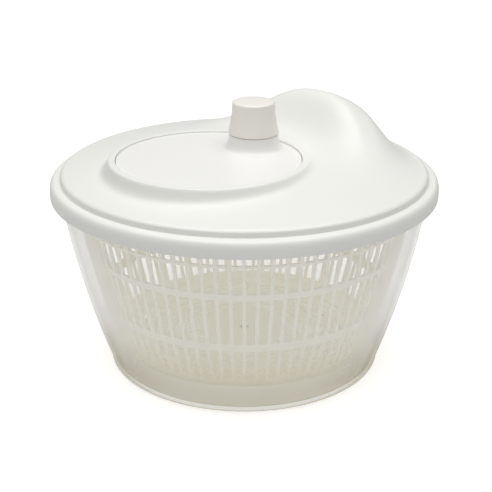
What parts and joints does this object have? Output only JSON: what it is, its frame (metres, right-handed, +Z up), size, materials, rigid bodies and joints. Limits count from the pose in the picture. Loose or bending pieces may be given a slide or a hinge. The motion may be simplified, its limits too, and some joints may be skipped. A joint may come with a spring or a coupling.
{
  "type": "salad spinner",
  "caption": "Round salad spinner: frosted bowl, slotted basket on a centre pivot, and a geared lid with a palm rest and an off-centre crank disc and knob.",
  "frame": {"origin": "on the spin axis, at the height of the surface that the bowl stands on", "axes": "+Z up along the spin axis; the crank disc is towards -X and -Y, the palm rest towards +X and +Y"},
  "size_m": [0.24, 0.24, 0.167],
  "materials": {
    "bowl_plastic": "frosted, translucent",
    "basket_plastic": "satin",
    "lid_plastic": "satin",
    "disc_plastic": "satin",
    "knob_plastic": "satin",
    "plate_plastic": "satin",
    "gear_acetal": "satin",
    "bearing_acetal": "satin",
    "screw_steel": "zinc plated",
    "pin_steel": "polished"
  },
  "bodies": {
    "bowl": {"bowl": "bowl_plastic", "pivot_pin": "pin_steel"},
    "pivot": {"pivot_bush": "bearing_acetal"},
    "basket": {"basket": "basket_plastic"},
    "lid": {"lid": "lid_plastic", "crank_bush": "bearing_acetal", "shaft_bush": "bearing_acetal"},
    "crank": {"crank_disc": "disc_plastic", "ring_gear": "gear_acetal", "ring_screw_1": "screw_steel", "ring_screw_2": "screw_steel", "ring_screw_3": "screw_steel", "crank_washer": "screw_steel", "crank_screw": "screw_steel"},
    "knob": {"knob": "knob_plastic", "knob_spindle": "gear_acetal"},
    "drive": {"pinion": "gear_acetal", "drive_plate": "plate_plastic", "plate_screw": "screw_steel"}
  },
  "joints": [
    {"name": "basket_lift", "type": "slide", "parent": "bowl", "child": "pivot", "axis": [0, 0, 1], "range_m": [0, 0.13]},
    {"name": "basket_spin", "type": "hinge", "parent": "pivot", "child": "basket", "pos_m": [0, 0, 0.0155], "axis": [0, 0, 1], "continuous": true},
    {"name": "lid_lift", "type": "slide", "parent": "pivot", "child": "lid", "axis": [0, 0, 1], "range_m": [0, 0.14]},
    {"name": "crank_turn", "type": "hinge", "parent": "lid", "child": "crank", "pos_m": [-0.02134, -0.01888, 0.1276], "axis": [0, 0, 1], "continuous": true},
    {"name": "knob_spin", "type": "hinge", "parent": "crank", "child": "knob", "pos_m": [0.00576, 0.00552, 0.1465], "axis": [0, 0, 1], "continuous": true},
    {"name": "drive_turn", "type": "hinge", "parent": "lid", "child": "drive", "pos_m": [0, 0, 0.123], "axis": [0, 0, 1], "continuous": true}
  ],
  "couplings": [
    {"joint": "crank_turn", "follows": "basket_spin", "ratio": 0.24},
    {"joint": "drive_turn", "follows": "basket_spin", "ratio": 1}
  ]
}
